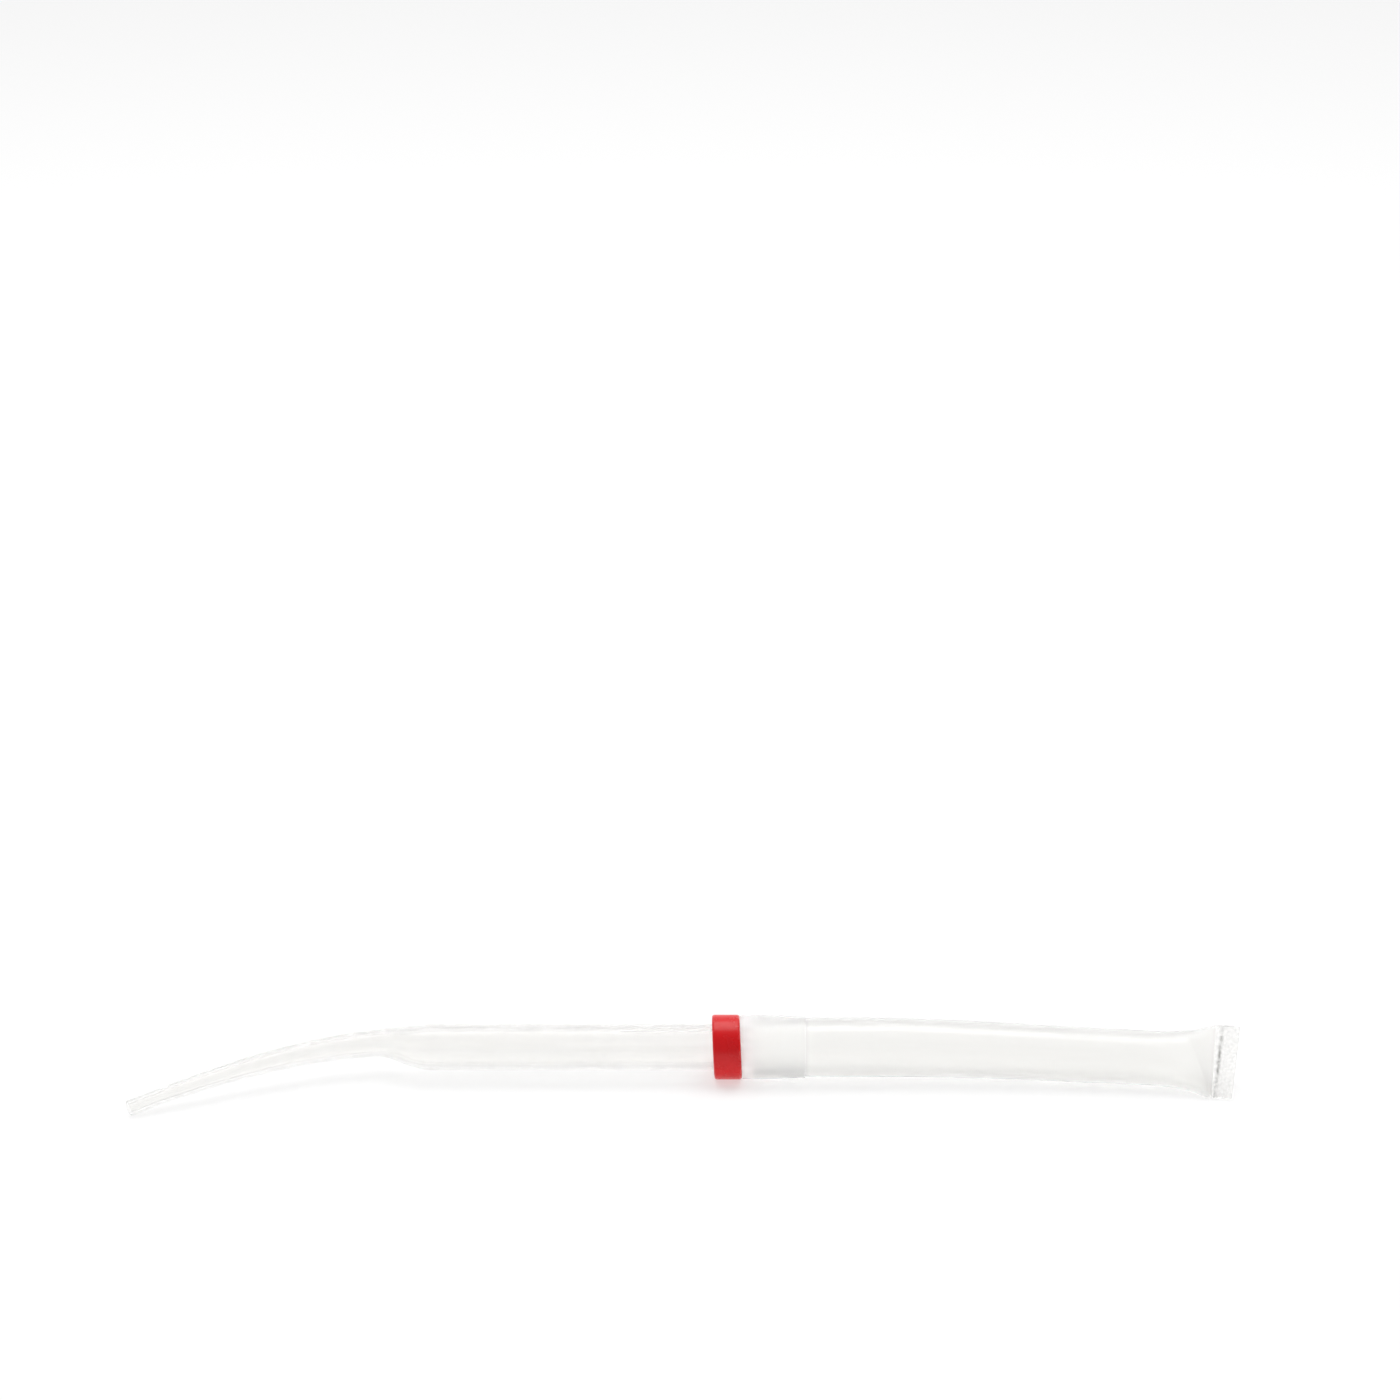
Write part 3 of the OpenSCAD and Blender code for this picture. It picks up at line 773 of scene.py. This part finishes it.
def moulded_polypropylene(settings):
    """Red polypropylene, injection moulded: opaque, index 1.49, with a soft satin gleam that is
    matched down. The pigment is a little uneven in clouds of about 1.2 mm, and the skin has
    a fine grain of 0.1 mm."""
    material, tree, surface = blank_material("moulded_polypropylene")
    unbent = add(tree, "ShaderNodeAttribute", attribute_name="unbent").outputs["Vector"]
    cloud = add(tree, "ShaderNodeTexNoise", {
        "Vector": unbent, "Scale": repeats(1.25), "Detail": 3.0}).outputs["Fac"]
    grain = add(tree, "ShaderNodeTexNoise", {
        "Vector": unbent, "Scale": repeats(0.1), "Detail": 2.0}).outputs["Fac"]
    pigment = add(tree, "ShaderNodeMix", {
        "Factor": cloud, 6: settings.plastic, 7: linear("D8141A")}, data_type="RGBA").outputs[2]
    rough = add(tree, "ShaderNodeMapRange", {
        "Value": cloud, "From Min": 0.3, "From Max": 0.7,
        "To Min": 0.22, "To Max": 0.3}).outputs["Result"]
    bump = add(tree, "ShaderNodeBump", {
        "Height": grain, "Strength": 0.2, "Distance": 0.02 * MM}).outputs["Normal"]
    shader = add(tree, "ShaderNodeBsdfPrincipled", {
        "Base Color": pigment, "Roughness": rough, "IOR": 1.49, "Specular IOR Level": 0.32,
        "Normal": bump})
    tree.links.new(shader.outputs[0], surface)
    return material


def opal_acrylic(settings):
    """An opal acrylic table, cast and matted: a pale grey sheet lit from below, so that it looks
    white and the shadows on it stay pale. Its index is matched down from 1.49 to 1.3, and its tooth
    of 0.4 mm hardly shows."""
    material, tree, surface = blank_material("opal_acrylic")
    place = add(tree, "ShaderNodeTexCoord").outputs["Object"]
    tooth = add(tree, "ShaderNodeTexNoise", {
        "Vector": place, "Scale": repeats(0.4), "Detail": 2.0}).outputs["Fac"]
    bump = add(tree, "ShaderNodeBump", {
        "Height": tooth, "Strength": 0.02, "Distance": 0.02 * MM}).outputs["Normal"]
    shader = add(tree, "ShaderNodeBsdfPrincipled", {
        "Base Color": settings.floor_tone, "Roughness": 0.9, "IOR": 1.3, "Normal": bump,
        "Emission Color": (1, 1, 1, 1), "Emission Strength": settings.floor_glow})
    tree.links.new(shader.outputs[0], surface)
    return material


# ---------------------------------------------------------------- stage


def lay_floor(scene, stage):
    """A square of opal acrylic under the dropper."""
    half = stage.floor_side / 2
    mesh = bpy.data.meshes.new("floor")
    mesh.from_pydata([(-half, -half, 0), (half, -half, 0), (half, half, 0), (-half, half, 0)],
                     [], [(0, 1, 2, 3)])
    mesh.materials.append(opal_acrylic(stage))
    floor = bpy.data.objects.new("floor", mesh)
    scene.collection.objects.link(floor)


def light_room(scene, stage):
    """A studio that is dim on the camera's side and pale on the far side."""
    world = bpy.data.worlds.new("studio")
    scene.world = world
    world.use_nodes = True
    tree = world.node_tree
    tree.nodes.clear()
    away = add(tree, "ShaderNodeSeparateXYZ", {
        0: add(tree, "ShaderNodeTexCoord").outputs["Generated"]}).outputs["Y"]
    light = add(tree, "ShaderNodeMapRange", {
        "Value": away, "From Min": ROOM_DIM, "From Max": ROOM_PALE, "To Min": stage.room_near,
        "To Max": stage.room_far}, interpolation_type="SMOOTHSTEP").outputs["Result"]
    background = add(tree, "ShaderNodeBackground", {"Color": (1, 1, 1, 1), "Strength": light})
    tree.links.new(background.outputs[0], add(tree, "ShaderNodeOutputWorld").inputs["Surface"])


def hang_softbox(scene, stage):
    """A wide softbox overhead, set back so that the near side of the dropper faces away from it."""
    lamp = bpy.data.lights.new("softbox", "AREA")
    lamp.shape = "RECTANGLE"
    lamp.size, lamp.size_y = SOFTBOX_SIDES
    lamp.energy = stage.softbox
    box = bpy.data.objects.new("softbox", lamp)
    box.location = SOFTBOX_PLACE
    scene.collection.objects.link(box)


def place_camera(scene, stage):
    """A long lens that looks down on the dropper from the front, without depth of field."""
    camera = bpy.data.objects.new("camera", bpy.data.cameras.new("camera"))
    camera.data.sensor_width, camera.data.lens = SENSOR, LENS
    camera.data.clip_start, camera.data.clip_end = 0.01, 20
    tilt = stage.elevation
    right = np.array([1, 0, 0])
    forward = np.array([0, math.cos(tilt), -math.sin(tilt)])
    upward = np.array([0, math.sin(tilt), math.cos(tilt)])
    camera.location = RING_MIDDLE - (
        CAMERA_LEFT * right - CAMERA_UP * upward + CAMERA_BACK * forward) * MM
    camera.rotation_euler = (math.pi / 2 - tilt, 0, 0)
    scene.collection.objects.link(camera)
    scene.camera = camera
    scene.view_settings.view_transform = "Standard"


# ---------------------------------------------------------------- operators


def seat(piece, material, node):
    """Gives a finished piece its material, and puts it in the place of its CAD node."""
    piece.data.materials.append(material)
    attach(piece, "root")
    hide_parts(node)


class DROPPER_OT_stem(bpy.types.Operator):
    """Moulds the stem: tip, neck, barrel and collar in one piece"""
    bl_idname = "dropper.stem"
    bl_label = "Mould the stem"

    def execute(self, context):
        sizes = context.scene.dropper
        grid, fields = stem_grid(sizes.stem, sizes.tube, sizes.ring)
        seat(skin("stem_moulding", grid, True, fields),
             moulded_polyethylene(sizes.stem), "dropper_stem")
        return {"FINISHED"}


class DROPPER_OT_bulb(bpy.types.Operator):
    """Draws the bulb tube and pinches, welds and crimps its far end"""
    bl_idname = "dropper.bulb"
    bl_label = "Draw and seal the bulb tube"

    def execute(self, context):
        sizes = context.scene.dropper
        grid, fields = bulb_grid(sizes.stem, sizes.tube, sizes.ring)
        seat(skin("bulb_sleeve", grid, False, fields),
             extruded_polyethylene(sizes.tube), "bulb_tube")
        return {"FINISHED"}


class DROPPER_OT_ring(bpy.types.Operator):
    """Moulds the colour ring"""
    bl_idname = "dropper.ring"
    bl_label = "Mould the colour ring"

    def execute(self, context):
        sizes = context.scene.dropper
        grid, fields = ring_grid(sizes.stem, sizes.ring)
        seat(skin("ring_band", grid, True, fields),
             moulded_polypropylene(sizes.ring), "colour_ring")
        return {"FINISHED"}


class DROPPER_OT_stage(bpy.types.Operator):
    """Lays the floor, and sets the light and the camera"""
    bl_idname = "dropper.stage"
    bl_label = "Set the stage"

    def execute(self, context):
        scene = context.scene
        for part in (lay_floor, light_room, hang_softbox, place_camera):
            part(scene, scene.dropper.stage)
        return {"FINISHED"}


class DROPPER_PT_panel(bpy.types.Panel):
    """The dropper's sizes, colours and steps"""
    bl_idname = "DROPPER_PT_panel"
    bl_label = "Soft plastic dropper"
    bl_space_type = "VIEW_3D"
    bl_region_type = "UI"
    bl_category = "Dropper"

    def draw(self, context):
        settings = context.scene.dropper
        for group, operator in (("stem", "dropper.stem"), ("tube", "dropper.bulb"),
                                ("ring", "dropper.ring"), ("stage", "dropper.stage")):
            box = self.layout.box()
            box.operator(operator)
            values = getattr(settings, group)
            for key in values.__annotations__:
                box.prop(values, key)


CLASSES = (StemSizes, TubeSizes, RingSizes, StageSizes, DropperSettings, DROPPER_OT_stem,
           DROPPER_OT_bulb, DROPPER_OT_ring, DROPPER_OT_stage, DROPPER_PT_panel)


def register():
    for kind in CLASSES:
        bpy.utils.register_class(kind)
    bpy.types.Scene.dropper = bpy.props.PointerProperty(
        name="Dropper", description="Sizes and colours of the dropper", type=DropperSettings)


def unregister():
    del bpy.types.Scene.dropper
    for kind in reversed(CLASSES):
        bpy.utils.unregister_class(kind)


def main():
    register()
    bpy.ops.dropper.stage()
    bpy.ops.dropper.ring()
    bpy.ops.dropper.stem()
    bpy.ops.dropper.bulb()


if __name__ == "__main__":
    main()
